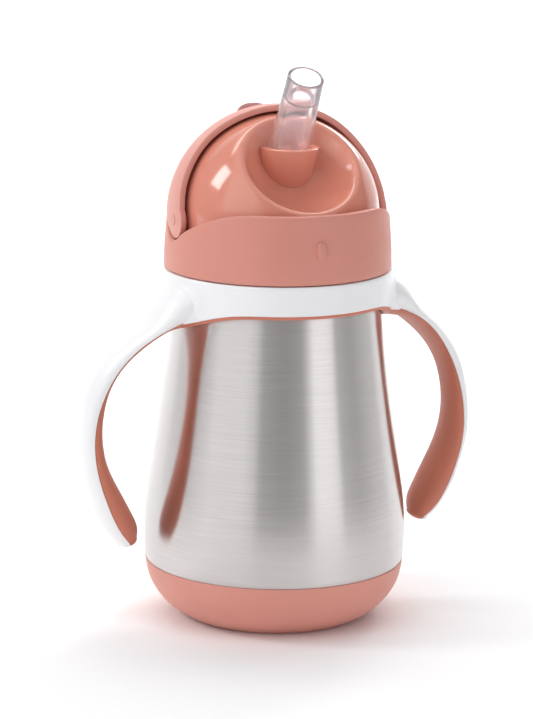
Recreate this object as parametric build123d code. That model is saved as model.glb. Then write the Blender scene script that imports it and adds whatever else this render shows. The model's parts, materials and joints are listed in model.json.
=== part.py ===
from build123d import *
import os
from math import cos, radians, sin

# A child's insulated straw cup: a double-walled steel body in a soft base boot, a loose ring of two
# handles, a screw lid with a domed top and a folding straw, and a cover that slides over the dome.
# Millimetres, +Z up. The origin is the middle of the foot. The drinking side faces -Y, and the
# handles and the cover's pivots lie along X.

# Body of revolution, (radius, height): the widest ring, the seam of the boot and the shoulder
FOOT_R = 27.0
BELLY_R, BELLY_Z = 40.0, 27.0
SEAM_R, SEAM_Z = 39.62, 17.4
SHOULDER_R, SHOULDER_Z = 31.25, 97.9
FLANK = [(38.4, 44.0), (35.0, 68.0), (32.35, 88.5)]
NECK_R, RIM_Z = 29.8, 116.2
SHEET = 0.6            # steel thickness of both walls
BOOT_WALL = 1.45
GAP = 0.3              # running gap between pieces that move past each other

# Handles
RING_R, RING_IN_R = 34.8, 30.8
RING_Z = (98.2, 99.0, 107.8)   # underside of the grip, of the frame, and the top
# Bar sections across the plane y = 0: outer point, inner point and half width along Y
BAR = [
    (30.0, 107.4, 30.0, 92.4, 16.0), (36.6, 104.8, 34.6, 91.2, 15.0), (43.0, 96.3, 39.4, 90.2, 13.3),
    (48.6, 90.9, 44.6, 86.6, 11.0), (53.0, 86.6, 49.0, 82.4, 9.3), (57.0, 81.6, 52.3, 77.9, 8.0),
    (60.1, 76.0, 54.5, 73.2, 7.2), (62.6, 68.4, 56.0, 66.8, 6.6), (63.7, 60.0, 56.5, 60.2, 6.7),
    (63.5, 52.6, 55.7, 53.4, 7.2), (61.5, 43.6, 53.0, 46.2, 7.6), (58.9, 36.3, 50.0, 40.6, 7.7),
    (56.2, 31.4, 47.3, 35.4, 7.4), (53.6, 27.8, 45.3, 30.6, 6.4), (50.9, 24.9, 45.3, 27.2, 4.4),
]
# Where the white frame meets the grip on the bar's side
PARTING = [
    (33.0, 99.0), (34.8, 94.6), (40.2, 90.7), (47.7, 85.4), (52.4, 80.2), (55.8, 75.0),
    (58.9, 68.0), (60.4, 58.5), (59.7, 50.0), (56.7, 40.0), (51.7, 30.0), (45.5, 22.0),
]

# Lid: the cover turns about the line y = 0, z = PIVOT_Z
PIVOT_Z = 123.7
COLLAR_Z, LEDGE_Z = 108.1, 128.5
COLLAR_OUT = [(34.5, COLLAR_Z), (34.4, 113.0), (34.2, 116.5), (33.9, 120.5), (33.3, LEDGE_Z)]
SKIRT_IN_R = 32.2
FLANGE_R, FLANGE_Z = 25.0, (119.5, 121.0)
DOME_R, DOME_IN_R = 30.6, 28.9
LEDGE_IN_R = 30.9
COVER_R, COVER_IN_R = 33.3, 31.4
POLE_X, POLE_IN_X = 33.8, 31.9     # the cover is a little longer along X, to lie flush at its arms
COVER_TURN = 80.0                  # degrees from open to closed
NOTCH_R, ARM_R = 6.0, 5.6
# Top edge of the collar beside the notch, (y, z above the pivot), and its level front stretch
EDGE = [(9.8, -1.0), (16.4, 1.9)]
EDGE_FLAT = (26.0, LEDGE_Z - PIVOT_Z)
PIN_R, PIN_BORE_R = 1.75, 1.80

# Straw: it leans towards -Y. T counts down along its axis from the middle of the holder's rim
LEAN = 28.4
RIM = Vector(0, -8.3, 145.7)
UP = Vector(0, -sin(radians(LEAN)), cos(radians(LEAN)))
TIP_LENGTH = 25.2
HOLDER_R, HOLDER_BORE_R = 8.9, 6.35
STRAW_Y, ELBOW_T = 3.16, 24.1
SWING_Z = 111.6

# Bowl scooped out of the dome in front of the straw: a ball on a line BOWL_TILT in front of upright
BOWL_TILT, BOWL_OUT, BOWL_R, SKIN = 44.0, 35.8, 20.7, 1.7


def save(node, shape):
    """Writes one node's STEP file."""
    shape.label = node
    export_step(shape, f"parts/{node}.step")


def turned(*edges):
    """Solid of revolution about Z from edges that close a profile in the plane y = 0."""
    return revolve(make_face(Wire(list(edges))), Axis.Z, 360)


def turned_polygon(points):
    """Solid of revolution about Z from the (radius, height) corners of a profile."""
    corners = [(r, 0, z) for r, z in points]
    return revolve(make_face(Polyline(*corners, close=True)), Axis.Z, 360)


def tube(r, z0, z1, bore=0.0, x=0.0, y=0.0):
    """Upright cylinder or pipe between two heights."""
    body = Pos(x, y, (z0 + z1) / 2) * Cylinder(r, z1 - z0)
    if bore:
        body -= Pos(x, y, (z0 + z1) / 2) * Cylinder(bore, z1 - z0 + 2)
    return body


def along_straw(t0, t1, r0, r1=None):
    """Cylinder or cone on the straw's axis, from t0 to t1 below the rim (negative is above it)."""
    plane = Plane(origin=RIM - UP * t1, x_dir=(1, 0, 0), z_dir=UP)
    length = t1 - t0
    lift = Pos(0, 0, length / 2)
    body = Cylinder(r0, length) if r1 is None else Cone(r1, r0, length)
    return plane * (lift * body)


def flank(offset, low=(), top=None):
    """The belly's outline from its widest ring up, moved inwards by offset."""
    points = [(BELLY_R, BELLY_Z), *FLANK, top or (SHOULDER_R, SHOULDER_Z)]
    return Spline(*[(r - offset, 0, z) for r, z in [*low, *points]])


def body_solid(grow=0.0):
    """The whole outside of the body up to the shoulder, grown sideways."""
    side = flank(-grow, low=[(SEAM_R, SEAM_Z)])
    low = Spline((FOOT_R + grow, 0, 0), (31.2 + grow, 0, 2.4), (36.0 + grow, 0, 7.1),
                 (38.75 + grow, 0, 12.6), (SEAM_R + grow, 0, SEAM_Z))
    return turned(
        Line((0, 0, 0), (FOOT_R + grow, 0, 0)), low, side,
        Line((SHOULDER_R + grow, 0, SHOULDER_Z), (0, 0, SHOULDER_Z)),
        Line((0, 0, SHOULDER_Z), (0, 0, 0)),
    )


# --- Cup ---------------------------------------------------------------------------------------

SHELL_FLOOR_Z, PLATE_R = 2.2, 22.0
SHELL_LOW = [(28.0, SHELL_FLOOR_Z), (33.9, 7.0), (37.2, 12.6), (SEAM_R - BOOT_WALL, SEAM_Z)]


def shell_low(offset):
    return Spline(*[(r + offset, 0, z) for r, z in SHELL_LOW])


def make_outer_shell():
    step = SEAM_Z + 0.1
    low_r, s = SEAM_R - BOOT_WALL, SHEET
    outside = flank(0, low=[(SEAM_R, step)])
    inside = flank(s, low=[(SEAM_R, step + s)], top=(SHOULDER_R, SHOULDER_Z - s))
    neck_in = NECK_R - s
    shell = turned(
        Line((PLATE_R, 0, SHELL_FLOOR_Z), (28.0, 0, SHELL_FLOOR_Z)), shell_low(0),
        Line((low_r, 0, SEAM_Z), (low_r, 0, step)), Line((low_r, 0, step), (SEAM_R, 0, step)),
        outside,
        Line((SHOULDER_R, 0, SHOULDER_Z), (NECK_R, 0, SHOULDER_Z)),
        Line((NECK_R, 0, SHOULDER_Z), (NECK_R, 0, RIM_Z - s)),
        Line((NECK_R, 0, RIM_Z - s), (neck_in, 0, RIM_Z - s)),
        Line((neck_in, 0, RIM_Z - s), (neck_in, 0, SHOULDER_Z - s)),
        Line((neck_in, 0, SHOULDER_Z - s), (SHOULDER_R - s, 0, SHOULDER_Z - s)),
        inside,
        Line((SEAM_R - s, 0, step + s), (low_r - s, 0, step + s)),
        Line((low_r - s, 0, step + s), (low_r - s, 0, SEAM_Z)),
        shell_low(-s),
        Line((28.0 - s, 0, SHELL_FLOOR_Z), (28.0 - s, 0, SHELL_FLOOR_Z + s)),
        Line((28.0 - s, 0, SHELL_FLOOR_Z + s), (PLATE_R, 0, SHELL_FLOOR_Z + s)),
        Line((PLATE_R, 0, SHELL_FLOOR_Z + s), (PLATE_R, 0, SHELL_FLOOR_Z)),
    )
    for z in (110.3, 113.3):
        bead = turned_polygon([(NECK_R - 0.3, z - 0.9), (NECK_R + 0.7, z), (NECK_R - 0.3, z + 0.9)])
        shell += bead
    return shell


def make_inner_liner():
    def wall(inset):
        points = [(28.9, 96.0), (29.3, 86.0), (31.4, 68.0), (34.8, 44.0), (36.3, 28.0), (34.6, 15.6)]
        side = Spline(*[(r - inset, 0, z) for r, z in points], (29.5 - inset, 0, 9.6 + inset))
        floor = 9.0 + inset
        return turned(
            Line((0, 0, RIM_Z), (28.9 - inset, 0, RIM_Z)),
            Line((28.9 - inset, 0, RIM_Z), (28.9 - inset, 0, 96.0)), side,
            Line((29.5 - inset, 0, 9.6 + inset), (27.0 - inset, 0, floor)),
            Line((27.0 - inset, 0, floor), (0, 0, floor)),
            Line((0, 0, floor), (0, 0, RIM_Z)),
        )
    lip = tube(NECK_R, RIM_Z - SHEET, RIM_Z, bore=28.6)
    return wall(0) - wall(SHEET) - tube(28.9 - SHEET, RIM_Z - 1, RIM_Z + 1) + lip


def make_base_boot():
    outer = body_solid() & Pos(0, 0, SEAM_Z / 2) * Cylinder(60, SEAM_Z)
    g = 0.1
    hollow = turned(
        Line((0, 0, SHELL_FLOOR_Z - g), (28.0 + g, 0, SHELL_FLOOR_Z - g)),
        Line((28.0 + g, 0, SHELL_FLOOR_Z - g), (28.0 + g, 0, SHELL_FLOOR_Z)), shell_low(g),
        Line((SEAM_R - BOOT_WALL + g, 0, SEAM_Z), (SEAM_R - BOOT_WALL + g, 0, SEAM_Z + 1)),
        Line((SEAM_R - BOOT_WALL + g, 0, SEAM_Z + 1), (0, 0, SEAM_Z + 1)),
        Line((0, 0, SEAM_Z + 1), (0, 0, SHELL_FLOOR_Z - g)),
    )
    recess = turned_polygon([(0, -1), (19.0, -1), (19.0, 0), (17.8, 0.8), (0, 0.8)])
    return outer - hollow - recess


def make_bottom_plate():
    top = SHELL_FLOOR_Z + SHEET
    plate = tube(PLATE_R - 0.05, SHELL_FLOOR_Z, top) + tube(6.0, top - 0.1, top + 0.5)
    return plate - tube(1.5, 0, 5)


# --- Handles -----------------------------------------------------------------------------------


def bar_solid():
    """The right-hand bar: a loft through ovals, each upright on its outer and inner points."""
    faces = []
    for x_out, z_out, x_in, z_in, wide in BAR:
        outward = Vector(x_out - x_in, 0, z_out - z_in)
        middle = ((x_out + x_in) / 2, 0, (z_out + z_in) / 2)
        square = Plane(origin=middle, x_dir=(0, 1, 0), z_dir=outward.cross(Vector(0, 1, 0)))
        faces.append(square * Ellipse(wide, outward.length / 2))
    return loft(faces)


def grip_region():
    """Everything on the inner side of the parting line, as one deep slab."""
    line = Spline(*[(x, 0, z) for x, z in PARTING])
    first, last = PARTING[0], PARTING[-1]
    back = Polyline((last[0], 0, last[1]), (20, 0, last[1]), (20, 0, first[1]), (first[0], 0, first[1]))
    face = make_face([*line.edges(), *back.edges()])
    return extrude(face, 30, dir=(0, 1, 0), both=True)


def make_handles():
    low, parting, top = RING_Z
    bar = bar_solid()
    bars = bar + mirror(bar, Plane.YZ)
    grip_side = grip_region()
    grip_side += mirror(grip_side, Plane.YZ)
    room = body_solid(GAP + 0.05) + tube(RING_IN_R, 90, 125)
    room += tube(COLLAR_OUT[0][0] + 0.4, top, 125)
    room += Pos(0, 0, top + 10) * Box(140, 80, 20)
    frame = (bars - grip_side) + tube(RING_R, parting, top)
    grip = (bars & grip_side) - tube(RING_R, parting, top)
    grip += tube(RING_R - 0.4, low, parting)
    return frame - room, grip - room - frame


# --- Lid ---------------------------------------------------------------------------------------


def above_edge(arm_r, lift):
    """Slab along X over the collar's wavy top edge, with the round notch at each pivot."""
    low = 50.0
    turn = radians(37.6)
    start = (arm_r * sin(turn), -arm_r * cos(turn))
    flat = (EDGE_FLAT[0], EDGE_FLAT[1] + lift)
    waves = [(y, z + lift) for y, z in EDGE]

    def half(sign):
        curve = Spline(
            (0, sign * start[0], PIVOT_Z + start[1]),
            *[(0, sign * y, PIVOT_Z + z) for y, z in waves],
            (0, sign * flat[0], PIVOT_Z + flat[1]),
            tangents=[(0, sign * cos(turn), sin(turn)), (0, sign, 0)],
        )
        run = Line((0, sign * flat[0], PIVOT_Z + flat[1]), (0, sign * 60, PIVOT_Z + flat[1]))
        return curve, run

    notch = ThreePointArc(
        (0, -start[0], PIVOT_Z + start[1]), (0, 0, PIVOT_Z - arm_r), (0, start[0], PIVOT_Z + start[1])
    )
    right, run_right = half(1)
    left, run_left = half(-1)
    high = PIVOT_Z + low
    lid = Polyline((0, 60, PIVOT_Z + flat[1]), (0, 60, high), (0, -60, high), (0, -60, PIVOT_Z + flat[1]))
    face = make_face([notch, right, run_right, *lid.edges(), left, run_left])
    return extrude(face, 60, dir=(1, 0, 0), both=True)


def make_screw_collar():
    floor, top = FLANGE_Z
    body = turned_polygon([
        *COLLAR_OUT, (LEDGE_IN_R, LEDGE_Z), (LEDGE_IN_R, top), (FLANGE_R, top), (FLANGE_R, floor),
        (SKIRT_IN_R, floor), (SKIRT_IN_R, COLLAR_Z),
    ])
    for z in (111.8, 114.8):
        rib = [(SKIRT_IN_R + 0.3, z - 1.3), (SKIRT_IN_R - 1.3, z), (SKIRT_IN_R + 0.3, z + 1.3)]
        body += turned_polygon(rib)
    body -= above_edge(NOTCH_R, 0) - tube(LEDGE_IN_R, 90, 180)
    # small drop-shaped mark in the middle of the front
    mark_r, mark_y = 1.7, -33.35
    mark = tube(mark_r, 117.0, 119.4, y=mark_y)
    mark += Pos(0, mark_y, 117.0) * Sphere(mark_r) + Pos(0, mark_y, 119.4) * Sphere(mark_r)
    return body + mark


def ball(r, x=None):
    """Ball about the cover's pivot, or an egg longer along X."""
    if x is None:
        return Pos(0, 0, PIVOT_Z) * Sphere(r)
    arc = EllipticalCenterArc((0, 0), x, r, start_angle=0, arc_size=180)
    face = make_face([arc, Line((-x, 0), (x, 0))])
    return Pos(0, 0, PIVOT_Z) * revolve(face, Axis.X, 360)


def bowl(grow=0.0):
    tilt = radians(BOWL_TILT)
    return Pos(0, -BOWL_OUT * sin(tilt), PIVOT_Z + BOWL_OUT * cos(tilt)) * Sphere(BOWL_R + grow)


def make_lid_dome():
    foot = FLANGE_Z[1]
    upper = Pos(0, 0, PIVOT_Z + 50) * Box(200, 200, 100)
    outside = (ball(DOME_R) & upper) + tube(DOME_R, foot, PIVOT_Z)
    inside = (ball(DOME_IN_R) & upper) + tube(DOME_IN_R, foot - 1, PIVOT_Z)
    dome = (outside - bowl()) - (inside - bowl(SKIN))
    # the holder leans with the straw, and its rim is cut level
    level_cut = Pos(0, 0, RIM.Z + 10) * Box(60, 60, 20)
    dome += along_straw(-6.0, 16.0, HOLDER_R) - level_cut
    dome -= along_straw(-8.0, 26.0, HOLDER_BORE_R)
    turn = Rotation(0, 90, 0)
    for side in (-1, 1):
        boss = Pos(side * 28.3, 0, PIVOT_Z) * turn * Cylinder(4.0, 2.6)
        dome += boss & Pos(0, 0, foot + 50.05) * Box(200, 200, 100)
        dome -= Pos(side * 30.0, 0, PIVOT_Z) * turn * Cylinder(PIN_BORE_R, 4.4)
    return dome


def make_inner_plate():
    z0, z1 = FLANGE_Z[1], FLANGE_Z[1] + 1.4
    plate = tube(26.4, z0, z1)
    return plate - tube(5.05, z0 - 1, z1 + 1, y=STRAW_Y) - tube(3.05, z0 - 1, z1 + 1, y=16)


def make_vent_valve():
    z1 = FLANGE_Z[1] + 1.4
    valve = tube(4.4, z1, z1 + 1.0, y=16) + tube(3.0, 119.6, z1 + 0.1, y=16)
    valve += Pos(0, 16, 118.2) * Cone(1.3, 3.0, 2.8)
    return valve - tube(1.6, 118.4, z1 + 2, y=16)


def make_straw_connector():
    z1 = FLANGE_Z[1] + 1.4
    spigot_r, bend_r, bore_r = 3.45, 3.7, 1.9
    elbow = RIM - UP * ELBOW_T
    body = tube(5.0, FLANGE_Z[1], z1, y=STRAW_Y) + tube(6.5, z1, z1 + 1.0, y=STRAW_Y)
    body += along_straw(17.1, ELBOW_T, spigot_r) + tube(spigot_r - 0.05, 119.0, elbow.Z, y=STRAW_Y)
    body += Pos(*elbow) * Sphere(bend_r)
    body += tube(2.6, 112.5, 119.5, y=STRAW_Y)
    body -= Pos(*elbow) * Sphere(bore_r + 0.15)
    body -= along_straw(15.0, ELBOW_T, bore_r)
    return body - tube(bore_r - 0.05, 110.0, elbow.Z, y=STRAW_Y)


def make_mouthpiece_base():
    return along_straw(0.15, 21.0, 6.2) - along_straw(-1.0, 23.0, 3.5)


def make_mouthpiece_tip():
    """The soft spout: a slight taper, a wide mouth and a narrower bore below a step."""
    tip = along_straw(-TIP_LENGTH, -0.15, 5.45, 6.0)
    tip -= along_straw(-TIP_LENGTH - 1, -TIP_LENGTH + 7.5, 4.3)
    return tip - along_straw(-TIP_LENGTH, 1.0, 3.5)


# --- Cover -------------------------------------------------------------------------------------


def make_sliding_cover():
    shell = ball(COVER_R, x=POLE_X) - ball(COVER_IN_R, x=POLE_IN_X)
    slab = above_edge(ARM_R, 0.35)
    open_slab = Pos(0, 0, PIVOT_Z) * (Rotation(-COVER_TURN, 0, 0) * (Pos(0, 0, -PIVOT_Z) * slab))
    pins = Pos(0, 0, PIVOT_Z) * (Rotation(0, 90, 0) * Cylinder(PIN_R + 0.02, 80))
    return (shell & slab & open_slab) - pins


def make_cover_knob():
    """Soft thumb tab in the middle of the cover."""
    tab = fillet(Box(11.0, 9.0, 10.4).edges(), 3.4)
    knob = Rotation(-COVER_TURN / 2, 0, 0) * (Pos(0, 0, 33.4) * tab)
    return Pos(0, 0, PIVOT_Z) * knob - ball(COVER_R + 0.02, x=POLE_X + 0.02)


def make_pivot_pin(side):
    inner, outer = 28.0, POLE_X - 0.1
    pin = Rotation(0, 90, 0) * Cylinder(PIN_R, outer - inner)
    return Pos(side * (inner + outer) / 2, 0, PIVOT_Z) * pin


# --- Weighted straw ------------------------------------------------------------------------------

WEIGHT_R, WEIGHT_WALL = 7.0, 1.2
WEIGHT_Z = (12.6, 22.0, 30.5)


def make_weight_shell(lower):
    low, middle, high = WEIGHT_Z
    if lower:
        cup = tube(WEIGHT_R, low, middle - 0.05, y=STRAW_Y)
        cup = fillet(cup.edges().group_by(Axis.Z)[0], 2.5)
        cup -= tube(WEIGHT_R - WEIGHT_WALL, low + WEIGHT_WALL, middle + 1, y=STRAW_Y)
        return cup - tube(2.2, low - 1, middle, y=STRAW_Y)
    cap = tube(WEIGHT_R, middle, high, y=STRAW_Y)
    cap = fillet(cap.edges().group_by(Axis.Z)[-1], 2.5)
    cap -= tube(WEIGHT_R - WEIGHT_WALL, middle - 1, high - WEIGHT_WALL, y=STRAW_Y)
    return cap - tube(3.55, middle, high + 1, y=STRAW_Y)


os.makedirs("parts", exist_ok=True)
frame, grip = make_handles()
save("outer_shell", make_outer_shell())
save("inner_liner", make_inner_liner())
save("bottom_plate", make_bottom_plate())
save("vacuum_getter", tube(4.0, 2.8, 4.3, x=12.0))
save("sealing_bead", tube(1.45, 2.25, 3.6))
save("base_boot", make_base_boot())
save("handle_frame", frame)
save("handle_grip", grip)
save("lid_gasket", tube(30.0, 116.5, 119.2, bore=27.2))
save("screw_collar", make_screw_collar())
save("lid_dome", make_lid_dome())
save("inner_plate", make_inner_plate())
save("vent_valve", make_vent_valve())
save("straw_connector", make_straw_connector())
save("mouthpiece_base", make_mouthpiece_base())
save("straw_sleeve", tube(3.9, 112.0, 118.6, bore=2.65, y=STRAW_Y))
save("mouthpiece_tip", make_mouthpiece_tip())
save("sliding_cover", make_sliding_cover())
save("cover_knob", make_cover_knob())
save("pivot_pin_left", make_pivot_pin(-1))
save("pivot_pin_right", make_pivot_pin(1))
save("straw_tube", tube(3.5, 28.8, SWING_Z - 0.4, bore=2.2, y=STRAW_Y))
save("weight_shell_upper", make_weight_shell(False))
save("weight_shell_lower", make_weight_shell(True))
save("weight_core", tube(5.6, 15.0, 28.4, bore=2.3, y=STRAW_Y))
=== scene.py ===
import json
import math

import bmesh
import bpy
import numpy as np
from mathutils import Matrix, Vector
from mathutils.bvhtree import BVHTree

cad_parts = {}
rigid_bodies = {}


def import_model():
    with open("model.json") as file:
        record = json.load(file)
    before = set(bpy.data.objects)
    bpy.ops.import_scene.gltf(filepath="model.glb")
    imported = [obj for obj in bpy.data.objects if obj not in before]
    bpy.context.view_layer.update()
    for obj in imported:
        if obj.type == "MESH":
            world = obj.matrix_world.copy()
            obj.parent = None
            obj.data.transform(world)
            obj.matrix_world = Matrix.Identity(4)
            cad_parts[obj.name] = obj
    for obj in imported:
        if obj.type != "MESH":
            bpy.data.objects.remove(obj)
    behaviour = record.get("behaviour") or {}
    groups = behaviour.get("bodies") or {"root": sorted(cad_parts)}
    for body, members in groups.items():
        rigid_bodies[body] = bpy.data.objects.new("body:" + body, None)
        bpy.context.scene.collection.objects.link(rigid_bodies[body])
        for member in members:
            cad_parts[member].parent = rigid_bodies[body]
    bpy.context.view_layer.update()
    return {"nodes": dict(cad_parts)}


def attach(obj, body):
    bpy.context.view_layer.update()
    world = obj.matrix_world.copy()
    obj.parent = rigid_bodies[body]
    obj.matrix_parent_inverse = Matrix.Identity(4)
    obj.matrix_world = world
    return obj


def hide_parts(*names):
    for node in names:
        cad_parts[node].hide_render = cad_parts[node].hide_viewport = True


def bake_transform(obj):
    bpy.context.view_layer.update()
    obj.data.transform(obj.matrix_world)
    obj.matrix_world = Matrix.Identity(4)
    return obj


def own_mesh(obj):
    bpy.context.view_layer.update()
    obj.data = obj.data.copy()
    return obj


for obj in list(bpy.data.objects):
    bpy.data.objects.remove(obj)
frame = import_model()

# The frame is in metres; the shapes below are written in millimetres.
MM = 0.001
# Height of the cover's pivot pins
PIVOT_Z = 123.7
# The spout's axis leans forward and passes through the middle of its holder's rim
LEAN = math.radians(28.4)
RIM = np.array([0, -8.3, 145.7])
UP = np.array([0, -math.sin(LEAN), math.cos(LEAN)])
# The straw inside the cup hangs this far behind the middle
STRAW_Y = 3.16


# --- Curves ------------------------------------------------------------------------------------


def cubic(t, p, at):
    """Natural cubic through the rows of p, placed at t and read at the values in at."""
    n, h = len(t), np.diff(t)
    a, b = np.zeros((n, n)), np.zeros_like(p)
    a[0, 0] = a[-1, -1] = 1
    for i in range(1, n - 1):
        a[i, i - 1 : i + 2] = h[i - 1], 2 * (h[i - 1] + h[i]), h[i]
        b[i] = 6 * ((p[i + 1] - p[i]) / h[i] - (p[i] - p[i - 1]) / h[i - 1])
    m = np.linalg.solve(a, b)
    k = np.clip(np.searchsorted(t, at, side="right") - 1, 0, n - 2)
    w = h[k][:, None]
    right = (np.asarray(at)[:, None] - t[k][:, None]) / w
    left = 1 - right
    bend = ((left**3 - left) * m[k] + (right**3 - right) * m[k + 1]) * w**2 / 6
    return left * p[k] + right * p[k + 1] + bend


def spline(points, samples):
    """Smooth curve through points, read at even steps of length."""
    p = np.array(points, float)
    t = np.concatenate([[0], np.cumsum(np.linalg.norm(np.diff(p, axis=0), axis=1))])
    return cubic(t, p, np.linspace(0, t[-1], samples))


def rounded(corners, steps=4):
    """Closed profile with each corner (r, z, radius) rounded; a radius of 0 stays sharp."""
    p = np.array([c[:2] for c in corners], float)
    out = []
    for i, (r, z, radius) in enumerate(corners):
        here = p[i]
        before, after = p[i - 1] - here, p[(i + 1) % len(p)] - here
        if not radius:
            out.append(tuple(here))
            continue
        a, b = before / np.linalg.norm(before), after / np.linalg.norm(after)
        half = math.acos(max(-1, min(1, float(a @ b)))) / 2
        reach = radius / math.tan(half)
        for k in range(steps + 1):
            s = k / steps
            out.append(tuple(here + a * reach * (1 - s) ** 2 + b * reach * s**2))
    return out


def body_radius(z):
    """Outside radius of the steel body at a height."""
    z_known = [0, 17.4, 27, 44, 68, 88.5, 97.9]
    r_known = [27, 39.62, 40, 38.4, 35, 32.35, 31.25]
    return np.interp(z, z_known, r_known)


# --- Meshes ------------------------------------------------------------------------------------


def surface(name, points, wrap_rows=False, wrap_columns=False, sharp=32):
    """Mesh over a grid of points in millimetres."""
    rows, columns = points.shape[:2]
    index = np.arange(rows * columns).reshape(rows, columns)
    i = np.arange(rows if wrap_rows else rows - 1)
    j = np.arange(columns if wrap_columns else columns - 1)
    i2, j2 = (i + 1) % rows, (j + 1) % columns
    faces = np.stack(
        [index[np.ix_(i, j)], index[np.ix_(i2, j)], index[np.ix_(i2, j2)], index[np.ix_(i, j2)]], -1
    ).reshape(-1, 4)
    mesh = bpy.data.meshes.new(name)
    mesh.from_pydata((points.reshape(-1, 3) * MM).tolist(), [], faces.tolist())
    b = bmesh.new()
    b.from_mesh(mesh)
    bmesh.ops.remove_doubles(b, verts=b.verts, dist=2e-6)
    bmesh.ops.recalc_face_normals(b, faces=b.faces)
    b.to_mesh(mesh)
    b.free()
    soften(mesh, sharp)
    obj = bpy.data.objects.new(name, mesh)
    bpy.context.scene.collection.objects.link(obj)
    return obj


def soften(mesh, sharp=32):
    mesh.shade_smooth()
    mesh.set_sharp_from_angle(angle=math.radians(sharp))


def turned(name, profile, centre=(0, 0), around=192, closed=True, place=None, sharp=32):
    """Surface of revolution of (radius, height) points about an upright axis, or where place puts it."""
    p = np.array(profile, float)
    a = np.linspace(0, 2 * np.pi, around, endpoint=False)[:, None]
    height = np.broadcast_to(p[:, 1], (around, len(p)))
    grid = np.stack([p[:, 0] * np.cos(a), p[:, 0] * np.sin(a), height], -1)
    if place is not None:
        grid = place(grid)
    else:
        grid = grid + np.array([centre[0], centre[1], 0])
    return surface(name, grid, wrap_rows=True, wrap_columns=closed, sharp=sharp)


def on_straw(grid):
    """Takes points about +Z to the straw's axis, with height 0 at the holder's rim."""
    side = np.array([1.0, 0, 0])
    back = np.cross(UP, side)
    return RIM + grid[..., :1] * side + grid[..., 1:2] * back + grid[..., 2:] * UP


def piece(obj, material, slot, body, *nodes):
    """Gives a new mesh its material, puts it on a body and hides the CAD nodes it stands for; slot is not
    used.
    """
    obj.data.materials.clear()
    obj.data.materials.append(material)
    if nodes:
        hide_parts(*nodes)
    if body:
        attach(obj, body)
    return obj


# --- Materials ---------------------------------------------------------------------------------


class Nodes:
    """A node material that is put together step by step."""

    def __init__(self, name):
        self.material = bpy.data.materials.new(name)
        self.material.use_nodes = True
        self.tree = self.material.node_tree
        self.shader = self.tree.nodes["Principled BSDF"]
        self.where = self.tree.nodes.new("ShaderNodeTexCoord").outputs["Object"]

    def add(self, kind, links=None, **settings):
        node = self.tree.nodes.new(kind)
        for key, value in settings.items():
            setattr(node, key, value)
        for key, socket in (links or {}).items():
            self.tree.links.new(socket, node.inputs[key])
        return node

    def noise(self, scale, detail=4.0, stretch=(1, 1, 1), rough=0.5):
        """Noise in object space; scale is in features per metre."""
        mapped = self.add("ShaderNodeMapping", {"Vector": self.where})
        mapped.inputs["Scale"].default_value = stretch
        made = self.add("ShaderNodeTexNoise", {"Vector": mapped.outputs["Vector"]})
        made.inputs["Scale"].default_value = scale
        made.inputs["Detail"].default_value = detail
        made.inputs["Roughness"].default_value = rough
        return made.outputs["Fac"]

    def ramp(self, source, stops):
        """Colour by the value of source; each stop is (place, colour)."""
        node = self.add("ShaderNodeValToRGB", {"Fac": source})
        for _ in range(len(stops) - 2):
            node.color_ramp.elements.new(0.5)
        for element, (at, colour) in zip(node.color_ramp.elements, stops):
            element.position = at
            element.color = (*colour, 1)
        return node.outputs["Color"]

    def spread(self, source, low, high):
        """Number from low to high over the middle of a noise's range."""
        node = self.add("ShaderNodeMapRange", {"Value": source})
        node.inputs["From Min"].default_value = 0.3
        node.inputs["From Max"].default_value = 0.7
        node.inputs["To Min"].default_value = low
        node.inputs["To Max"].default_value = high
        return node.outputs["Result"]

    def relief(self, source, strength, distance):
        """Bump; distance is the height of the grain in metres."""
        node = self.add("ShaderNodeBump", {"Height": source})
        node.inputs["Strength"].default_value = strength
        node.inputs["Distance"].default_value = distance
        self.into("Normal", node.outputs["Normal"])

    def into(self, name, socket):
        self.tree.links.new(socket, self.shader.inputs[name])

    def set(self, **values):
        for key, value in values.items():
            self.shader.inputs[key.replace("_", " ")].default_value = value
        return self


def shade(colour, factor):
    return tuple(min(1.0, c * factor) for c in colour)


def plastic(name, colour, rough=(0.4, 0.5), grain=0.1, coat=0.0, soft=0.0, spread=0.04):
    """Moulded plastic or rubber: a slight drift of colour and gloss, and a fine grain."""
    m = Nodes(name)
    tones = [(0.3, shade(colour, 1 - spread)), (0.7, shade(colour, 1 + spread))]
    m.into("Base Color", m.ramp(m.noise(22, 3), tones))
    m.into("Roughness", m.spread(m.noise(140, 3), *rough))
    m.relief(m.noise(2600, 2), grain, 0.00002)
    m.set(Coat_Weight=coat, Coat_Roughness=0.12, Sheen_Weight=soft, Sheen_Roughness=0.5, IOR=1.47)
    return m.material


def brushed(name, colour, rough=(0.24, 0.36), grain=0.3, anisotropy=0.6):
    """Steel with fine lines running round the Z axis, which blur its reflections upwards."""
    m = Nodes(name)
    lines = m.noise(8000, 2, stretch=(0.006, 0.006, 1), rough=0.6)
    wide = m.noise(2500, 3, stretch=(0.01, 0.01, 1))
    m.into("Base Color", m.ramp(lines, [(0.32, shade(colour, 0.92)), (0.68, shade(colour, 1.05))]))
    m.into("Roughness", m.spread(wide, *rough))
    m.relief(lines, grain, 0.000015)
    tangent = m.add("ShaderNodeTangent", direction_type="RADIAL", axis="Z")
    m.into("Tangent", tangent.outputs["Tangent"])
    m.set(Metallic=1.0, Anisotropic=anisotropy, Anisotropic_Rotation=0.25)
    return m.material


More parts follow.
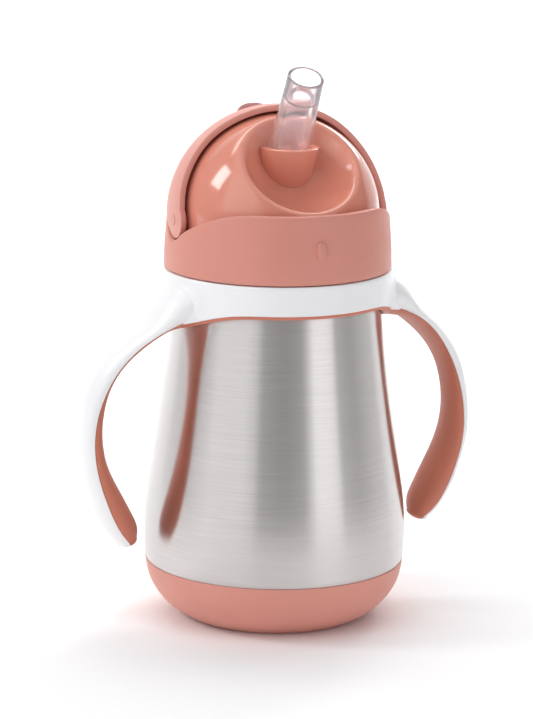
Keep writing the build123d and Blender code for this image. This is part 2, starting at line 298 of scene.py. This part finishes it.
def silicone(name, colour, rough=(0.10, 0.18), clear=0.92):
    """Clear or milky rubber; clear is the share of light that passes through."""
    m = Nodes(name)
    m.into("Base Color", m.ramp(m.noise(60, 2), [(0.3, shade(colour, 0.98)), (0.7, colour)]))
    m.into("Roughness", m.spread(m.noise(300, 2), *rough))
    m.relief(m.noise(500, 2), 0.05, 0.00003)
    m.set(IOR=1.41, Transmission_Weight=clear)
    return m.material


salmon = plastic("salmon_matte", (0.69, 0.275, 0.215), rough=(0.42, 0.50), grain=0.12, soft=0.05)
cover_pink = plastic("cover_pink", (0.73, 0.32, 0.26), rough=(0.40, 0.48), grain=0.10, soft=0.05)
dome_gloss = plastic("dome_gloss", (0.72, 0.27, 0.19), rough=(0.10, 0.15), grain=0.02, coat=0.6)
boot_salmon = plastic("boot_salmon", (0.74, 0.305, 0.240), rough=(0.46, 0.56), grain=0.2, soft=0.1)
knob_soft = plastic("knob_soft", (0.37, 0.115, 0.115), rough=(0.45, 0.55), grain=0.1, soft=0.1)
grip_soft = plastic("grip_soft", (0.60, 0.185, 0.115), rough=(0.46, 0.56), grain=0.2, soft=0.08)
white = plastic("white_gloss", (0.90, 0.90, 0.905), rough=(0.28, 0.31), grain=0.0, coat=0.1, spread=0.01)
clean = plastic("clean_white", (0.86, 0.86, 0.85), rough=(0.3, 0.4), grain=0.05, spread=0.01)
steel = brushed("brushed_steel", (0.64, 0.612, 0.60), rough=(0.23, 0.27), grain=0.01, anisotropy=0.9)
liner_steel = brushed("liner_steel", (0.78, 0.78, 0.77), rough=(0.18, 0.26), grain=0.15)
weight_steel = brushed("weight_steel", (0.62, 0.62, 0.61), rough=(0.22, 0.3), grain=0.2)
getter = brushed("getter_metal", (0.45, 0.44, 0.42), rough=(0.5, 0.6), grain=0.1, anisotropy=0.0)
clear = silicone("silicone_clear", (0.975, 0.955, 0.985), rough=(0.06, 0.10), clear=0.92)
milky = silicone("silicone_milky", (0.88, 0.88, 0.87), rough=(0.35, 0.45), clear=0.35)

# CAD pieces that stay as they are
KEPT = {
    "inner_liner": (liner_steel, "liner_steel"),
    "bottom_plate": (steel, "steel"),
    "vacuum_getter": (getter, "getter_metal"),
    "sealing_bead": (getter, "getter_metal"),
    "lid_gasket": (milky, "gasket_silicone"),
    "inner_plate": (clean, "plate_plastic"),
    "vent_valve": (milky, "gasket_silicone"),
    "straw_connector": (clean, "plate_plastic"),
    "weight_shell_upper": (clean, "weight_plastic"),
    "weight_shell_lower": (clean, "weight_plastic"),
    "weight_core": (weight_steel, "weight_steel"),
}
for node, (material, slot) in KEPT.items():
    obj = frame["nodes"][node]
    obj.data.materials.clear()
    obj.data.materials.append(material)
    soften(obj.data, 28)


# --- Cup ---------------------------------------------------------------------------------------

# Outside of the steel between the boot and the shoulder
FLANK = [(39.62, 17.5), (40.0, 27.0), (38.4, 44.0), (35.0, 68.0), (32.35, 88.5), (31.25, 97.9)]
# Outside and inside of the steel where the boot covers it
HIDDEN_OUT = [(28.6, 2.7), (33.9, 7.0), (37.2, 12.6), (38.17, 17.4)]
HIDDEN_IN = [(37.57, 17.4), (36.6, 12.6), (33.3, 7.2), (28.0, 3.2)]
SHEET = 0.6
NECK_R, THREAD_R = 29.8, 30.5

flank = spline(FLANK, 90)
inner_flank = flank[::-1] - np.array([SHEET, 0])
thread = []
for z in (110.3, 113.3):
    thread += rounded([(NECK_R, z - 1, 0.2), (THREAD_R, z, 0.3), (NECK_R, z + 1, 0.2)])
shell_profile = [
    (22, 2.2), (27.2, 2.2), (28.4, 2.5), *spline(HIDDEN_OUT, 14), (38.17, 17.5), (39.4, 17.5),
    *flank[1:-1], (31.2, 98.0), (NECK_R, 98.2), *thread,
    (NECK_R, 115.6), (29.2, 115.6), (29.2, 97.6), (30.6, 97.4),
    *inner_flank[1:-1], (38.9, 18.1), (37.57, 18.0), *spline(HIDDEN_IN, 14), (22, 2.8),
]
shell = turned("steel_body", shell_profile, around=256)
piece(shell, steel, "steel", "cup", "outer_shell")

boot_side = spline([(27.0, 0.0), (31.2, 2.4), (36.0, 7.1), (38.75, 12.6), (39.62, 17.4)], 40)
boot_inside = spline([(38.25, 17.0), (37.3, 12.6), (34.0, 6.9), (28.1, 2.1)], 16)
boot_profile = [
    (17.8, 0.8), (19.0, 0.02), (20.5, 0.0), (26.0, 0.0), (27.4, 0.12), *boot_side[3:-1],
    (39.61, 17.2), (39.4, 17.38), (38.4, 17.38), (38.25, 17.2), *boot_inside, (0.01, 2.1), (0.01, 0.8),
]
boot = turned("boot", boot_profile, around=256)
piece(boot, boot_salmon, "boot_plastic", "cup", "base_boot")


# --- Handles -----------------------------------------------------------------------------------

# Outer point, inner point and half width of the right-hand bar, from the ring down to its tip
BAR = [
    (30.0, 107.4, 30.0, 92.4, 16.0), (36.6, 104.8, 34.6, 91.2, 15.0), (43.0, 96.3, 39.4, 90.2, 13.3),
    (48.6, 90.9, 44.6, 86.6, 11.0), (53.0, 86.6, 49.0, 82.4, 9.3), (57.0, 81.6, 52.3, 77.9, 8.0),
    (60.1, 76.0, 54.5, 73.2, 7.2), (62.6, 68.4, 56.0, 66.8, 6.6), (63.7, 60.0, 56.5, 60.2, 6.7),
    (63.5, 52.6, 55.7, 53.4, 7.2), (61.5, 43.6, 53.0, 46.2, 7.6), (58.9, 36.3, 50.0, 40.6, 7.7),
    (56.2, 31.4, 47.3, 35.4, 7.4), (53.6, 27.8, 45.3, 30.6, 6.4), (51.2, 25.2, 45.3, 27.4, 4.7),
]
# Line in the side view on which the white half of the right-hand bar meets the soft half
PARTING = [
    (31.0, 96.8), (34.9, 95.1), (40.9, 92.3), (48.5, 86.4), (53.0, 80.8), (56.2, 75.2),
    (58.9, 68.0), (60.4, 58.5), (59.7, 50.0), (56.7, 40.0), (51.7, 30.0), (46.5, 24.0),
]


def bar_halves(sections=120, around=40, groove=0.22):
    """Grids of points for the white outer half and the soft inner half of the right-hand bar."""
    bar = np.array(BAR)
    middle = (bar[:, :2] + bar[:, 2:4]) / 2
    t = np.concatenate([[0], np.cumsum(np.linalg.norm(np.diff(middle, axis=0), axis=1))])
    rows = cubic(t, bar, np.linspace(0, t[-1], sections))
    seam = spline(PARTING, 600)
    path = []
    for x_out, z_out, x_in, z_in, wide in rows:
        centre = np.array([x_out + x_in, z_out + z_in]) / 2
        out = np.array([x_out - x_in, z_out - z_in])
        half = np.linalg.norm(out) / 2
        out = out / (2 * half)
        onward = np.array([out[1], -out[0]])
        offset = seam - centre
        near = np.abs(offset @ onward) + 0.02 * np.linalg.norm(offset, axis=1)
        cut = float(offset[near.argmin()] @ out) / half
        path.append((centre, out, half, wide, max(-0.85, min(0.85, cut)), onward))
    # a rounded tip
    centre, out, half, wide, cut, onward = path[-1]
    for k in range(1, 9):
        turn = k / 8 * math.pi / 2
        shrink = math.cos(turn) + 0.02
        place = centre + onward * 1.7 * math.sin(turn)
        path.append((place, out, half * shrink, wide * shrink, cut, onward))
    outer, inner = [], []
    for centre, out, half, wide, cut, onward in path:
        edge = math.acos(cut)
        step = min(0.2, groove / wide)
        for grid, first, last in ((outer, -edge, edge), (inner, edge, 2 * math.pi - edge)):
            a = np.linspace(first + step, last - step, around)
            u, v = half * np.cos(a), wide * np.sin(a)
            corner = wide * math.sin(edge) * (1 - groove * 1.4 / wide)
            sign = -1 if grid is outer else 1
            u = np.concatenate([[cut * half], u, [cut * half]])
            v = np.concatenate([[sign * corner], v, [-sign * corner]])
            grid.append(np.stack([centre[0] + u * out[0], v, centre[1] + u * out[1]], -1))
    return np.array(outer), np.array(inner)


def ring_low(azimuth):
    """Height of the white ring's lower edge, by angle from the front; it dips to each bar."""
    from_side = np.abs((np.degrees(azimuth) % 180) - 90)
    known = np.array([0, 4, 11, 20, 29, 38, 50, 65, 90.0])
    height = np.array([92.6, 92.6, 93.0, 94.4, 96.0, 97.5, 98.7, 99.0, 99.0])
    return cubic(known, height[:, None], [float(from_side)])[0, 0]


def ring(name, profile, around=360):
    """Mesh round Z; profile is a function of the angle from the front and gives (radius, height) points."""
    angles = np.linspace(0, 2 * np.pi, around, endpoint=False)
    rows = []
    for a in angles:
        p = np.array(profile(a))
        rows.append(np.stack([p[:, 0] * math.sin(a), -p[:, 0] * math.cos(a), p[:, 1]], -1))
    return surface(name, np.array(rows), wrap_rows=True, wrap_columns=True)


RING_R, RING_TOP = 34.8, 107.8
RING_BORE_R = 30.8


def clear_radius(z):
    """Inside radius of the ring at a height, clear of the steel."""
    return max(RING_BORE_R, float(body_radius(z)) + 0.5)


def blurred(field, spread):
    """Gaussian blur of a grid, wrapped in its first direction and held at the ends of the second."""
    for axis, sigma in enumerate(spread):
        reach = int(3 * sigma) + 1
        k = np.exp(-0.5 * (np.arange(-reach, reach + 1) / sigma) ** 2)
        k /= k.sum()
        pad = [(0, 0), (0, 0)]
        pad[axis] = (reach, reach)
        wide = np.pad(field, pad, mode="wrap" if axis == 0 else "edge")
        field = sum(w * np.take(wide, range(i, i + field.shape[axis]), axis) for i, w in enumerate(k))
    return field


def ring_skin(bar, around=720, levels=48):
    """The ring's outer wall, swollen softly where the right-hand bar grows out of it, and mirrored."""
    corners = [v.co for v in bar.data.vertices]
    tree = BVHTree.FromPolygons(corners, [tuple(f.vertices) for f in bar.data.polygons])
    angles = np.linspace(0, 2 * np.pi, around, endpoint=False)
    heights = np.linspace(88.0, RING_TOP - 0.05, levels)
    reach = np.full((around, levels), RING_R)
    for i, a in enumerate(angles):
        out = Vector((abs(math.sin(a)), -math.cos(a), 0))
        if out.x < 0.6:
            continue
        for j, z in enumerate(heights):
            hit = tree.ray_cast(out * 0.07 + Vector((0, 0, z * MM)), -out)[0]
            if hit is not None:
                reach[i, j] = max(RING_R, math.hypot(hit.x, hit.y) / MM)
    soft = blurred(reach, (9.0, 4.5))
    under = 0.4 * np.clip((reach - RING_R) / 2, 0, 1)
    return heights, np.maximum(np.minimum(soft, reach + 2.5) - under, RING_R)


def frame_ring(skin, heights):
    """Profile of the white ring at one angle, with its swollen outer wall."""

    def profile(a):
        low = float(ring_low(a))
        wall = skin[int(round(a / (2 * np.pi) * len(skin))) % len(skin)]

        def out(z):
            return float(np.interp(z, heights, wall))

        side = [(out(z), z) for z in np.linspace(107.0, low + 0.3, 34)]
        top = out(107.4)
        return [
            (31.1, RING_TOP), (top - 0.6, RING_TOP), (top - 0.25, 107.7), (top - 0.06, 107.45), *side,
            (out(low) - 0.2, low + 0.05), (clear_radius(low) + 0.05, low + 0.02),
            (clear_radius(low), low + 0.4), (clear_radius(99.5), max(low + 0.6, 99.5)),
            (RING_BORE_R, 101.5), (RING_BORE_R, 107.5),
        ]

    return profile


def grip_ring(a):
    """Profile of the thin soft edge under the white ring."""
    low = float(ring_low(a))
    inside = clear_radius(low - 1) + 0.05
    return [
        (inside, low), (34.5, low), (34.5, low - 0.6), (34.35, low - 0.88), (34.0, low - 1.0),
        (inside, low - 1.0),
    ]


def join(name, objects):
    """One mesh out of several."""
    b = bmesh.new()
    for obj in objects:
        b.from_mesh(obj.data)
        mesh = obj.data
        bpy.data.objects.remove(obj)
        bpy.data.meshes.remove(mesh)
    mesh = bpy.data.meshes.new(name)
    b.to_mesh(mesh)
    b.free()
    soften(mesh)
    obj = bpy.data.objects.new(name, mesh)
    bpy.context.scene.collection.objects.link(obj)
    return obj


outer, inner = bar_halves()
flip = np.array([-1, 1, 1])
bar_right = surface("bar_white_right", outer, wrap_columns=True)
heights, skin = ring_skin(bar_right)
frame_piece = join("handle_frame_white", [
    ring("ring_white", frame_ring(skin, heights), around=720),
    bar_right,
    surface("bar_white_left", outer * flip, wrap_columns=True),
])
piece(frame_piece, white, "frame_white", "handles", "handle_frame")
grip_piece = join("handle_grip_soft", [
    ring("ring_soft", grip_ring),
    surface("bar_soft_right", inner, wrap_columns=True),
    surface("bar_soft_left", inner * flip, wrap_columns=True),
])
piece(grip_piece, grip_soft, "grip_soft", "handles", "handle_grip")


# --- Collar ------------------------------------------------------------------------------------

# The edge has a round notch at each pivot, then rises in a wave: (distance, height above the pivot)
NOTCH_R, NOTCH_END = 6.0, 3.66
WAVE = [
    (3.66, -4.75), (5.2, -3.62), (7.4, -2.25), (9.8, -1.0), (13.0, 0.45), (16.4, 1.9),
    (20.3, 3.45), (23.4, 4.45), (26.0, 4.8), (30.0, 4.8), (36.0, 4.8),
]
wave = spline(WAVE, 300)


def collar_top(y):
    """Height of the collar's edge above the pivot at a distance y from it, front or back."""
    y = abs(y)
    if y < NOTCH_END:
        return -math.sqrt(NOTCH_R**2 - y**2)
    return float(np.interp(y, wave[:, 0], wave[:, 1]))


def collar_radius(z):
    """Outside radius of the collar at a height."""
    return float(np.interp(z, [108.1, 113.0, 116.5, 120.5, 128.5], [34.5, 34.4, 34.2, 33.9, 33.3]))


def collar_profile(a):
    """Profile of the collar at one angle, with its shelf for the dome and its two turns of thread."""
    y = math.cos(a)

    def top(r):
        return PIVOT_Z + collar_top(r * y)

    high = top(33.5)
    side = [(collar_radius(z), z) for z in np.linspace(108.6, high - 0.8, 16)]
    r = collar_radius(high)
    flange = min(119.5, top(32.2) - 0.6)
    return [
        (32.3, 108.1), (34.0, 108.1), (34.35, 108.25), *side,
        (r - 0.05, high - 0.45), (r - 0.2, high - 0.18), (r - 0.48, top(33) - 0.02), (r - 0.8, top(32.8)),
        (31.6, top(31.6)), (31.2, top(31.2) - 0.08), (30.98, top(30.9) - 0.4),
        (30.9, min(121.4, top(30.9) - 0.6)), (30.9, 121.0), (25.0, 121.0), (25.0, 119.5), (30.8, 119.5),
        (32.2, flange), (32.2, 116.1), (31.0, 114.8), (32.2, 113.5), (32.2, 113.1), (31.0, 111.8),
        (32.2, 110.5), (32.2, 108.3),
    ]


collar = ring("collar", collar_profile, around=900)
piece(collar, salmon, "collar_plastic", "lid", "screw_collar")


def ellipsoid(name, centre, radii, power=2.0, turn=None, floor=None, rows=40, columns=64):
    """Rounded blob, turned by a rotation matrix; a power above 2 squares it off and a floor cuts it flat."""
    a = np.linspace(-np.pi / 2, np.pi / 2, rows)[:, None]
    b = np.linspace(0, 2 * np.pi, columns, endpoint=False)[None, :]

    def soft(v):
        return np.sign(v) * np.abs(v) ** (2 / power)

    x = soft(np.cos(a)) * soft(np.cos(b))
    y = soft(np.cos(a)) * soft(np.sin(b))
    z = soft(np.sin(a)) * np.ones_like(b)
    p = np.stack([x, y, z], -1) * np.array(radii)
    if floor is not None:
        p[..., 2] = np.maximum(p[..., 2], floor)
    if turn is not None:
        p = p @ np.array(turn).T
    return surface(name, p + np.array(centre), wrap_columns=True, sharp=60)


mark = ellipsoid("collar_mark", (0, -33.75, 118.2), (1.7, 1.55, 3.0), power=2.2)
piece(mark, salmon, "collar_plastic", "lid")


# --- Dome --------------------------------------------------------------------------------------

DOME_R, DOME_FOOT_Z = 30.6, 121.05
# The scoop is a ball too, whose middle stands out from the pivot on an axis that leans forward
BOWL_TILT, BOWL_OUT, BOWL_R = math.radians(44), 35.8, 20.7


def dome_profile(soft=1.5, step=0.3):
    """(radius, height) about the bowl's axis from the pivot: the scoop, its soft rim and the ball."""
    rim = math.acos((DOME_R**2 + BOWL_OUT**2 - BOWL_R**2) / (2 * DOME_R * BOWL_OUT))
    edge = math.asin(DOME_R * math.sin(rim) / BOWL_R)
    scoop = [(BOWL_R * math.sin(a), BOWL_OUT - BOWL_R * math.cos(a)) for a in np.linspace(0, edge, 60)]
    ball = [(DOME_R * math.sin(a), DOME_R * math.cos(a)) for a in np.linspace(rim, math.radians(150), 200)]
    p = np.array(scoop + ball[1:])
    t = np.concatenate([[0], np.cumsum(np.linalg.norm(np.diff(p, axis=0), axis=1))])
    even = np.arange(0, t[-1], step)
    p = np.stack([np.interp(even, t, p[:, k]) for k in (0, 1)], -1)
    near = np.exp(-((even - t[59]) / 4.5) ** 2)[:, None]
    k = np.exp(-0.5 * (np.arange(-20, 21) * step / soft) ** 2)
    wide = np.pad(p, ((20, 20), (0, 0)), mode="edge")
    smooth = sum(w * wide[i : i + len(p)] for i, w in enumerate(k / k.sum()))
    p = p * (1 - near) + smooth * near
    p[0, 0] = 1e-4
    return p


def on_bowl_axis(grid):
    """Takes points about +Z to the bowl's axis, with height 0 at the pivot."""
    axis = np.array([0, -math.sin(BOWL_TILT), math.cos(BOWL_TILT)])
    side = np.array([1.0, 0, 0])
    back = np.cross(axis, side)
    return np.array([0, 0, PIVOT_Z]) + grid[..., :1] * side + grid[..., 1:2] * back + grid[..., 2:] * axis


dome = turned("dome", dome_profile(), around=256, closed=False, place=on_bowl_axis, sharp=50)
b = bmesh.new()
b.from_mesh(dome.data)
bmesh.ops.bisect_plane(
    b, geom=b.verts[:] + b.edges[:] + b.faces[:], plane_co=(0, 0, DOME_FOOT_Z * MM), plane_no=(0, 0, -1),
    clear_outer=True,
)
b.to_mesh(dome.data)
b.free()
soften(dome.data, 50)
piece(dome, dome_gloss, "dome_plastic", "lid", "lid_dome")


HOLDER_R, HOLDER_BORE_R, HOLDER_FOOT = 8.9, 6.38, -15.5
# The rim's section: (radius, depth below the level cut)
LIP = [
    (HOLDER_R, 0.62), (8.83, 0.3), (8.62, 0.09), (8.25, 0.0),
    (7.0, 0.0), (6.62, 0.1), (6.42, 0.34), (HOLDER_BORE_R, 0.75),
]


def holder_grid(around=160):
    """Sleeve that leans with the straw; its rim is cut level, with soft edges."""
    slope = math.tan(LEAN)
    rows = []
    for a in np.linspace(0, 2 * np.pi, around, endpoint=False):
        profile = [(HOLDER_R, HOLDER_FOOT), (HOLDER_R, -8.0)]
        profile += [(r, -r * slope * math.sin(a) - drop) for r, drop in LIP]
        profile += [(HOLDER_BORE_R, -9.0), (HOLDER_BORE_R, HOLDER_FOOT)]
        rows.append([(r * math.cos(a), r * math.sin(a), z) for r, z in profile])
    return on_straw(np.array(rows))


holder = surface("straw_holder", holder_grid(), wrap_rows=True, wrap_columns=True, sharp=40)
piece(holder, dome_gloss, "dome_plastic", "lid")


# --- Straw -------------------------------------------------------------------------------------

base_profile = rounded([(3.5, -20.9, 0), (6.2, -20.9, 0), (6.2, -2.2, 0.3), (3.5, -2.2, 0.2)])
base = turned("straw_base", base_profile, around=96, place=on_straw)
piece(base, clear, "silicone_clear", "lid", "mouthpiece_base")

tip_profile = rounded([
    (6.0, -2.0, 0.1), (5.95, 4.0, 2.0), (5.45, 25.2, 0.55), (4.5, 25.2, 0.45), (4.3, 17.9, 0.3),
    (3.5, 16.9, 0.3), (3.5, -2.0, 0.1),
], 6)
tip = turned("straw_spout", tip_profile, around=128, place=on_straw, sharp=40)
piece(tip, clear, "silicone_clear", "straw_tip", "mouthpiece_tip")
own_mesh(tip)

tube_side = [(3.5, z) for z in np.linspace(28.9, 110.6, 60)]
tube_profile = [
    (2.2, 28.9), *tube_side, (3.9, 112.0), (3.9, 118.2), (3.7, 118.6), (2.65, 118.6), (2.65, 112.0),
    *[(2.2, z) for z in np.linspace(110.6, 29.5, 60)],
]
# Clear silicone lets the light through, so it throws no shadow of its own
for part in (base, tip):
    part.visible_shadow = False

tube = turned("straw_tube_soft", tube_profile, centre=(0, STRAW_Y), around=48)
piece(tube, clear, "silicone_clear", None, "straw_tube", "straw_sleeve")
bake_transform(tube)


# --- Cover -------------------------------------------------------------------------------------

# Outside radius across the pins, half length along them, and inside radius
COVER_R, POLE_X, COVER_IN = 33.3, 33.8, 31.4
COVER_TURN = math.radians(80)
# The arm's round end, and how far the cover's edge stays above the collar's
ARM_R, LIFT = 5.6, 0.35
lifted = wave[wave[:, 0] > 4.3] + np.array([0, LIFT])


def edge_angle(rho):
    """Angle below or above the level at which the cover's edge passes at a distance from the pivot."""
    reach = np.hypot(lifted[:, 0], lifted[:, 1])
    angle = np.arctan2(lifted[:, 1], lifted[:, 0])
    return np.interp(rho, reach, angle)


def cover_outline(steps_tip=16, steps_side=60):
    """Lines across the cover: (distance, front angle, back angle, how round); angles are from upright."""
    start = ARM_R
    low = edge_angle(start + 0.4)
    front0 = math.pi / 2 - low - COVER_TURN
    back0 = -(math.pi / 2 - low)
    middle = (front0 + back0) / 2
    spread = (front0 - back0) / 2
    lines = []
    for k in range(steps_tip):
        s = math.pi - (math.pi - spread) * (k / steps_tip) ** 0.8
        lines.append((start, middle + s, middle - s, 0.0))
    for k in range(steps_side + 1):
        share = k / steps_side
        rho = start + (COVER_R - start) * math.sin(share * math.pi / 2)
        if k == 0:
            front, back = front0, back0
        else:
            angle = edge_angle(max(rho, start + 0.4))
            front = math.pi / 2 - angle - COVER_TURN
            back = -(math.pi / 2 - angle)
        w = min(1.0, max(0.0, (rho - start) / 10))
        lines.append((rho, front, back, w * w * (3 - 2 * w)))
    return lines


def cover_grid(across=70):
    """Closed loops of points over the outside and inside of the cover, from pole to pole."""
    thick = COVER_R - COVER_IN
    half = []
    for rho, front, back, w in cover_outline():
        f = np.array([math.sin(front), math.cos(front)]) * rho
        b = np.array([math.sin(back), math.cos(back)]) * rho
        length = max(rho * (front - back) * w + np.linalg.norm(f - b) * (1 - w), 0.02)
        e = min(0.2, 0.5 / length)
        lip = [(0.0, 0.225), (0.12 * e, 0.09), (0.45 * e, 0.027), (e, 0.0)]
        flat = [(u, 0.0) for u in np.linspace(e, 1 - e, across)[1:-1]]
        outer = lip + flat + [(1 - u, d) for u, d in reversed(lip)]
        inner = [(1.0, thick - 0.3), (1 - 0.4 * e, thick - 0.05), (1 - e, thick)]
        inner += [(u, thick) for u in np.linspace(1 - e, e, across)[1:-1]]
        inner += [(e, thick), (0.4 * e, thick - 0.05), (0.0, thick - 0.3)]
        row = []
        for u, depth in outer + inner:
            straight = f * (1 - u) + b * u
            angle = front * (1 - u) + back * u
            bent = np.array([math.sin(angle), math.cos(angle)]) * rho
            p = straight * (1 - w) + bent * w
            r = min(np.linalg.norm(p), COVER_R)
            x = POLE_X * math.sqrt(max(0.0, 1 - (r / COVER_R) ** 2))
            q = np.array([x, -p[0], p[1]])
            q *= 1 - depth / COVER_R
            row.append(q + np.array([0, 0, PIVOT_Z]))
        half.append(row)
    half = np.array(half)
    other = half[:-1][::-1] * np.array([-1, 1, 1])
    return np.concatenate([half, other])


cover = surface("cover", cover_grid(), wrap_columns=True, sharp=40)
piece(cover, cover_pink, "cover_plastic", "cover", "sliding_cover")

# The thumb tab sits on the back of the cover, 40 degrees behind the top
knob_turn = Matrix.Rotation(-math.radians(40), 3, "X")
knob_centre = np.array(knob_turn @ Vector((0, 0, 33.2))) + np.array([0, 0, PIVOT_Z])
knob = ellipsoid("cover_knob_soft", knob_centre, (5.4, 4.4, 5.3), power=2.7, turn=knob_turn, floor=-1.1)
piece(knob, knob_soft, "knob_soft", "cover", "cover_knob")


def on_pivot(side):
    """Takes points about +Z to the pivot's axis, out towards +X or -X."""
    return lambda grid: np.stack([side * grid[..., 2], grid[..., 0], grid[..., 1] + PIVOT_Z], -1)


pin_profile = [
    (0.001, 28.0), (1.75, 28.0), (1.75, 33.75), (1.7, 33.9), (1.55, 33.98), (0.9, 34.0), (0.001, 33.85),
]
for side, node in ((-1, "pivot_pin_left"), (1, "pivot_pin_right")):
    pin = turned(node + "_head", pin_profile, around=48, closed=False, place=on_pivot(side))
    piece(pin, cover_pink, "cover_plastic", "cover", node)


# --- Stage -------------------------------------------------------------------------------------

# Metres and radians from here on
CENTRE = (0, 0, 0.09)
EYE = (-0.3718, -0.9201, 0.2985)
LENS_MM = 167.1
HEADING, PITCH, ROLL = math.radians(21.83), math.radians(-12.49), math.radians(0.74)


def backdrop():
    """Pale floor that curves up into a wall behind the cup."""
    near, far, bend, top, half_width = -2.2, 1.6, 0.8, 3.2, 3.2
    side = [(near, 0.0), (far, 0.0)]
    side += [
        (far + bend * math.sin(a), bend - bend * math.cos(a)) for a in np.linspace(0.05, math.pi / 2, 16)
    ]
    side += [(far + bend, top)]
    rows = []
    for across in (-half_width, half_width):
        row = []
        for depth, height in side:
            x = across * math.cos(HEADING) + depth * math.sin(HEADING)
            y = depth * math.cos(HEADING) - across * math.sin(HEADING)
            row.append((x / MM, y / MM, height / MM - 0.02))
        rows.append(row)
    obj = surface("floor", np.array(rows))
    m = Nodes("pale_floor")
    m.into("Base Color", m.ramp(m.noise(3, 2), [(0.3, (0.93, 0.93, 0.93)), (0.7, (0.95, 0.95, 0.95))]))
    m.set(Roughness=0.9)
    obj.data.materials.append(m.material)


def soft_box(name, where, towards, size, power):
    """Rectangular lamp; size in metres, power in watts."""
    data = bpy.data.lights.new(name, "AREA")
    data.shape = "RECTANGLE"
    data.size, data.size_y = size
    data.energy = power
    obj = bpy.data.objects.new(name, data)
    obj.location = where
    obj.rotation_euler = (Vector(towards) - Vector(where)).to_track_quat("-Z", "Y").to_euler()
    bpy.context.scene.collection.objects.link(obj)


backdrop()
soft_box("key_left", (-1.15, -0.45, 0.75), CENTRE, (1.0, 1.0), 1.8)
soft_box("window", (-1.02, 0.36, 0.82), (0, 0, 0.13), (0.34, 0.44), 4.0)
soft_box("fill_right", (0.55, -1.03, 0.5), CENTRE, (0.6, 1.0), 1.0)
soft_box("ceiling", (0.1, 0.1, 3.2), CENTRE, (5, 5), 34)
soft_box("rim_right", (0.8, 0.75, 0.65), (0, 0, 0.13), (0.22, 0.6), 3.4)
soft_box("wall", (0.1, 0.9, 2.2), (0.6, 2.3, 0.6), (2.4, 1.2), 34)

# The room's brightness drifts round the horizon, which draws the soft upright bands in the steel:
# (degrees from the front, brightness)
BANDS = [
    (-180, 0.30), (-140, 0.28), (-104, 0.32), (-84, 0.84), (-44, 0.84), (-34, 0.22), (-12, 0.12), (4, 0.20),
    (16, 1.00), (34, 1.00), (46, 0.36), (64, 0.08), (80, 0.20), (100, 0.08), (140, 0.26), (180, 0.30),
]


def room():
    """World whose brightness follows BANDS round the horizon."""
    world = bpy.data.worlds.new("studio")
    bpy.context.scene.world = world
    world.use_nodes = True
    tree = world.node_tree
    where = tree.nodes.new("ShaderNodeTexCoord")
    parts = tree.nodes.new("ShaderNodeSeparateXYZ")
    tree.links.new(where.outputs["Generated"], parts.inputs["Vector"])
    front = tree.nodes.new("ShaderNodeMath")
    front.operation = "MULTIPLY"
    front.inputs[1].default_value = -1
    tree.links.new(parts.outputs["Y"], front.inputs[0])
    azimuth = tree.nodes.new("ShaderNodeMath")
    azimuth.operation = "ARCTAN2"
    tree.links.new(parts.outputs["X"], azimuth.inputs[0])
    tree.links.new(front.outputs["Value"], azimuth.inputs[1])
    share = tree.nodes.new("ShaderNodeMapRange")
    share.inputs["From Min"].default_value = -math.pi
    share.inputs["From Max"].default_value = math.pi
    tree.links.new(azimuth.outputs["Value"], share.inputs["Value"])
    bands = tree.nodes.new("ShaderNodeValToRGB")
    bands.color_ramp.interpolation = "EASE"
    tree.links.new(share.outputs["Result"], bands.inputs["Fac"])
    for _ in range(len(BANDS) - 2):
        bands.color_ramp.elements.new(0.5)
    for stop, (angle, brightness) in zip(bands.color_ramp.elements, BANDS):
        stop.position = (angle + 180) / 360
        stop.color = (brightness, brightness, brightness * 1.03, 1)
    tree.links.new(bands.outputs["Color"], tree.nodes["Background"].inputs["Color"])


def look():
    """Camera left of the front and above the cup, looking a little down at it."""
    data = bpy.data.cameras.new("camera")
    data.lens = LENS_MM
    data.clip_start, data.clip_end = 0.05, 20
    camera = bpy.data.objects.new("camera", data)
    bpy.context.scene.collection.objects.link(camera)
    bpy.context.scene.camera = camera
    flat = math.cos(PITCH)
    forward = Vector((math.sin(HEADING) * flat, math.cos(HEADING) * flat, math.sin(PITCH)))
    level = forward.cross(Vector((0, 0, 1))).normalized()
    upright = level.cross(forward)
    right = level * math.cos(ROLL) + upright * math.sin(ROLL)
    above = right.cross(forward)
    pose = Matrix((right, above, -forward)).transposed().to_4x4()
    pose.translation = Vector(EYE)
    camera.matrix_world = pose


room()
look()
bpy.context.scene.view_settings.view_transform = "Standard"
